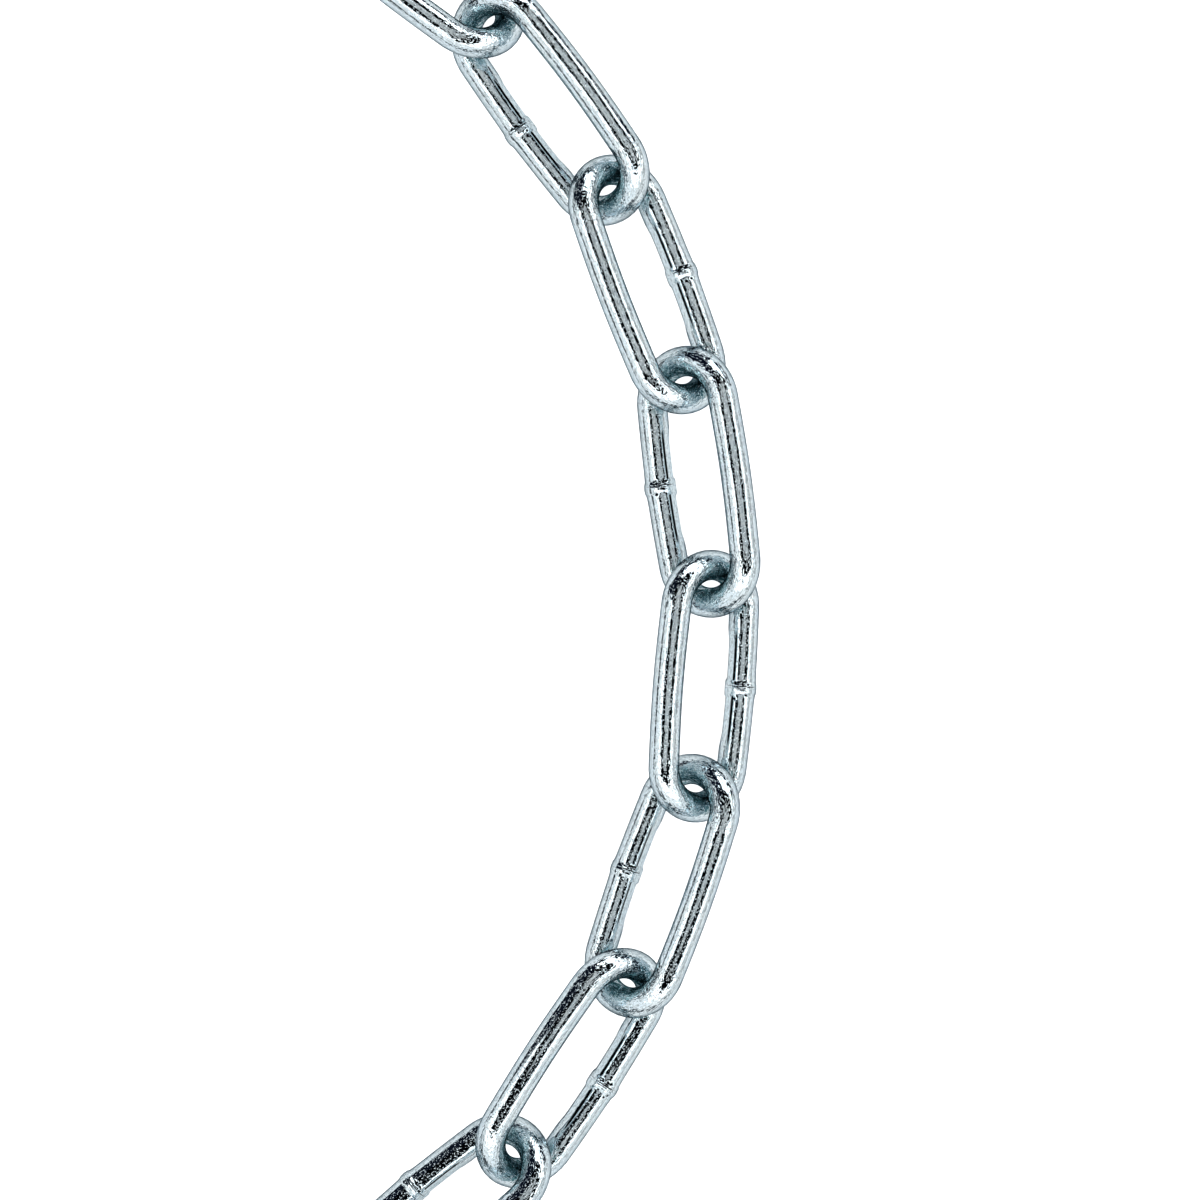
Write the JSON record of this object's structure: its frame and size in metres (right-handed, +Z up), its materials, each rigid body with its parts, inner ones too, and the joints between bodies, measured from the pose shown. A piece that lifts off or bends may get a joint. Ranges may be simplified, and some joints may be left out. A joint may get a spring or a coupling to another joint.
{
  "type": "long-link steel chain",
  "caption": "Length of welded long-link steel chain, zinc plated, lying on the floor in an open loop with its links leaning alternately.",
  "frame": {"origin": "middle of the chain's footprint, on the floor it lies on", "axes": "+X along the loop, from its open side to its bend; +Y towards the leg that ends in link_01; +Z up"},
  "size_m": [0.4442, 0.3048, 0.0138],
  "materials": {
    "zinc_plate": "bright blue-white zinc plating on drawn steel wire, with fine drawing lines, small pits and scuffs"
  },
  "bodies": {
    "link_01": {"link_01": "zinc_plate"},
    "link_02": {"link_02": "zinc_plate"},
    "link_03": {"link_03": "zinc_plate"},
    "link_04": {"link_04": "zinc_plate"},
    "link_05": {"link_05": "zinc_plate"},
    "link_06": {"link_06": "zinc_plate"},
    "link_07": {"link_07": "zinc_plate"},
    "link_08": {"link_08": "zinc_plate"},
    "link_09": {"link_09": "zinc_plate"},
    "link_10": {"link_10": "zinc_plate"},
    "link_11": {"link_11": "zinc_plate"},
    "link_12": {"link_12": "zinc_plate"},
    "link_13": {"link_13": "zinc_plate"},
    "link_14": {"link_14": "zinc_plate"},
    "link_15": {"link_15": "zinc_plate"},
    "link_16": {"link_16": "zinc_plate"},
    "link_17": {"link_17": "zinc_plate"},
    "link_18": {"link_18": "zinc_plate"},
    "link_19": {"link_19": "zinc_plate"},
    "link_20": {"link_20": "zinc_plate"},
    "link_21": {"link_21": "zinc_plate"},
    "link_22": {"link_22": "zinc_plate"},
    "link_23": {"link_23": "zinc_plate"},
    "link_24": {"link_24": "zinc_plate"},
    "link_25": {"link_25": "zinc_plate"},
    "link_26": {"link_26": "zinc_plate"},
    "link_27": {"link_27": "zinc_plate"},
    "link_28": {"link_28": "zinc_plate"},
    "link_29": {"link_29": "zinc_plate"}
  },
  "joints": [
    {"name": "bend_01_02", "type": "hinge", "parent": "link_02", "child": "link_01", "pos_m": [-0.18264, 0.14379, 0.00688], "axis": [0, 0, 1], "range_deg": [-27, 23]},
    {"name": "bend_02_03", "type": "hinge", "parent": "link_03", "child": "link_02", "pos_m": [-0.14886, 0.14261, 0.00688], "axis": [0, 0, -1], "range_deg": [-28, 22]},
    {"name": "bend_03_04", "type": "hinge", "parent": "link_04", "child": "link_03", "pos_m": [-0.11507, 0.1432, 0.00688], "axis": [0, 0, 1], "range_deg": [-26, 24]},
    {"name": "bend_04_05", "type": "hinge", "parent": "link_05", "child": "link_04", "pos_m": [-0.08127, 0.1432, 0.00688], "axis": [0, 0, -1], "range_deg": [-23, 27]},
    {"name": "bend_05_06", "type": "hinge", "parent": "link_06", "child": "link_05", "pos_m": [-0.04749, 0.14202, 0.00688], "axis": [0, 0, 1], "range_deg": [-23, 27]},
    {"name": "bend_06_07", "type": "hinge", "parent": "link_07", "child": "link_06", "pos_m": [-0.01369, 0.14202, 0.00688], "axis": [0, 0, -1], "range_deg": [-25, 25]},
    {"name": "bend_07_08", "type": "hinge", "parent": "link_08", "child": "link_07", "pos_m": [0.02011, 0.14202, 0.00688], "axis": [0, 0, 1], "range_deg": [-28, 22]},
    {"name": "bend_08_09", "type": "hinge", "parent": "link_09", "child": "link_08", "pos_m": [0.05386, 0.14025, 0.00688], "axis": [0, 0, -1], "range_deg": [-21, 29]},
    {"name": "bend_09_10", "type": "hinge", "parent": "link_10", "child": "link_09", "pos_m": [0.08741, 0.13614, 0.00688], "axis": [0, 0, 1], "range_deg": [-33, 17]},
    {"name": "bend_10_11", "type": "hinge", "parent": "link_11", "child": "link_10", "pos_m": [0.12006, 0.12739, 0.00688], "axis": [0, 0, -1], "range_deg": [-14, 36]},
    {"name": "bend_11_12", "type": "hinge", "parent": "link_12", "child": "link_11", "pos_m": [0.15044, 0.11257, 0.00688], "axis": [0, 0, 1], "range_deg": [-36.9, 13.1]},
    {"name": "bend_12_13", "type": "hinge", "parent": "link_13", "child": "link_12", "pos_m": [0.17711, 0.09181, 0.00688], "axis": [0, 0, -1], "range_deg": [-9.4, 40.6]},
    {"name": "bend_13_14", "type": "hinge", "parent": "link_14", "child": "link_13", "pos_m": [0.19722, 0.06464, 0.00688], "axis": [0, 0, 1], "range_deg": [-40.6, 9.4]},
    {"name": "bend_14_15", "type": "hinge", "parent": "link_15", "child": "link_14", "pos_m": [0.20927, 0.03306, 0.00688], "axis": [0, 0, -1], "range_deg": [-12, 38]},
    {"name": "bend_15_16", "type": "hinge", "parent": "link_15", "child": "link_16", "pos_m": [0.21392, -0.00042, 0.00688], "axis": [0, 0, -1], "range_deg": [-37.4, 12.6]},
    {"name": "bend_16_17", "type": "hinge", "parent": "link_16", "child": "link_17", "pos_m": [0.21127, -0.03411, 0.00688], "axis": [0, 0, 1], "range_deg": [-9.9, 40.1]},
    {"name": "bend_17_18", "type": "hinge", "parent": "link_17", "child": "link_18", "pos_m": [0.19993, -0.06595, 0.00688], "axis": [0, 0, -1], "range_deg": [-38.4, 11.6]},
    {"name": "bend_18_19", "type": "hinge", "parent": "link_18", "child": "link_19", "pos_m": [0.18152, -0.0943, 0.00688], "axis": [0, 0, 1], "range_deg": [-7.6, 42.4]},
    {"name": "bend_19_20", "type": "hinge", "parent": "link_19", "child": "link_20", "pos_m": [0.15548, -0.11585, 0.00688], "axis": [0, 0, -1], "range_deg": [-39, 11]},
    {"name": "bend_20_21", "type": "hinge", "parent": "link_20", "child": "link_21", "pos_m": [0.12499, -0.13045, 0.00688], "axis": [0, 0, 1], "range_deg": [-14, 36]},
    {"name": "bend_21_22", "type": "hinge", "parent": "link_21", "child": "link_22", "pos_m": [0.09229, -0.13897, 0.00688], "axis": [0, 0, -1], "range_deg": [-33, 17]},
    {"name": "bend_22_23", "type": "hinge", "parent": "link_22", "child": "link_23", "pos_m": [0.05871, -0.14286, 0.00688], "axis": [0, 0, 1], "range_deg": [-20, 30]},
    {"name": "bend_23_24", "type": "hinge", "parent": "link_23", "child": "link_24", "pos_m": [0.02492, -0.1438, 0.00688], "axis": [0, 0, -1], "range_deg": [-27, 23]},
    {"name": "bend_24_25", "type": "hinge", "parent": "link_24", "child": "link_25", "pos_m": [-0.00887, -0.14356, 0.00688], "axis": [0, 0, 1], "range_deg": [-26, 24]},
    {"name": "bend_25_26", "type": "hinge", "parent": "link_25", "child": "link_26", "pos_m": [-0.04267, -0.14392, 0.00688], "axis": [0, 0, -1], "range_deg": [-27, 23]},
    {"name": "bend_26_27", "type": "hinge", "parent": "link_26", "child": "link_27", "pos_m": [-0.07646, -0.14309, 0.00688], "axis": [0, 0, 1], "range_deg": [-27, 23]},
    {"name": "bend_27_28", "type": "hinge", "parent": "link_27", "child": "link_28", "pos_m": [-0.11026, -0.14345, 0.00688], "axis": [0, 0, -1], "range_deg": [-26, 24]},
    {"name": "bend_28_29", "type": "hinge", "parent": "link_28", "child": "link_29", "pos_m": [-0.14406, -0.14321, 0.00688], "axis": [0, 0, 1], "range_deg": [-25, 25]}
  ]
}
